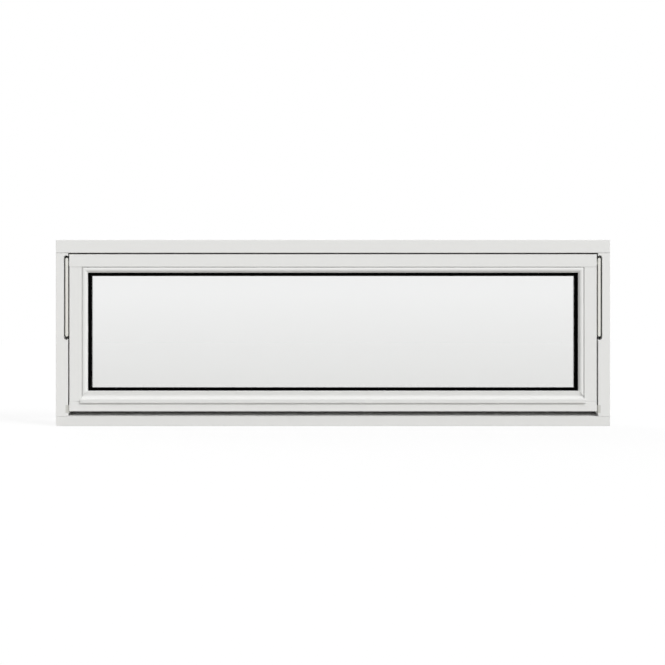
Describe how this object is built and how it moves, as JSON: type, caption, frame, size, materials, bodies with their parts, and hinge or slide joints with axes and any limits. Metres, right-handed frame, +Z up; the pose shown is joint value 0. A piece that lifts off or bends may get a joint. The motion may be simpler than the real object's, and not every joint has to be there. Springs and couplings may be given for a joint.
{
  "type": "top hung awning window",
  "caption": "Wide, low timber window with a top hung outward opening sash, sealed glazing behind moulded beads, side hinge arms in routed pockets and an inside lever handle.",
  "frame": {"origin": "underside of the sill, in the middle of the frame's width and depth", "axes": "+X to the right seen from outside, -Y out of the building, +Z up"},
  "size_m": [1.488, 0.121, 0.5],
  "materials": {
    "painted_timber": "satin off-white paint",
    "clear_glass": "clear float glass",
    "spacer_black": "matt black",
    "gasket_black": "matt black",
    "seal_grey": "matt dark grey",
    "hinge_paint": "pale coated steel",
    "track_steel": "dark zinc plated",
    "guide_plastic": "light grey moulding",
    "handle_metal": "satin"
  },
  "bodies": {
    "root": {"frame_head": "painted_timber", "frame_sill": "painted_timber", "left_jamb": "painted_timber", "right_jamb": "painted_timber", "sash_top_rail": "painted_timber", "sash_bottom_rail": "painted_timber", "left_sash_stile": "painted_timber", "right_sash_stile": "painted_timber", "top_glazing_bead": "painted_timber", "bottom_glazing_bead": "painted_timber", "left_glazing_bead": "painted_timber", "right_glazing_bead": "painted_timber", "outer_pane": "clear_glass", "inner_pane": "clear_glass", "top_spacer_bar": "spacer_black", "bottom_spacer_bar": "spacer_black", "left_spacer_bar": "spacer_black", "right_spacer_bar": "spacer_black", "top_outer_gasket": "gasket_black", "bottom_outer_gasket": "gasket_black", "left_outer_gasket": "gasket_black", "right_outer_gasket": "gasket_black", "top_inner_tape": "gasket_black", "bottom_inner_tape": "gasket_black", "left_inner_tape": "gasket_black", "right_inner_tape": "gasket_black", "top_weather_seal": "seal_grey", "bottom_weather_seal": "seal_grey", "left_weather_seal": "seal_grey", "right_weather_seal": "seal_grey", "left_hinge_track": "track_steel", "right_hinge_track": "track_steel", "left_hinge_arm": "hinge_paint", "right_hinge_arm": "hinge_paint", "left_guide_block": "guide_plastic", "right_guide_block": "guide_plastic", "handle_base": "handle_metal", "handle_lever": "handle_metal"}
  },
  "joints": []
}
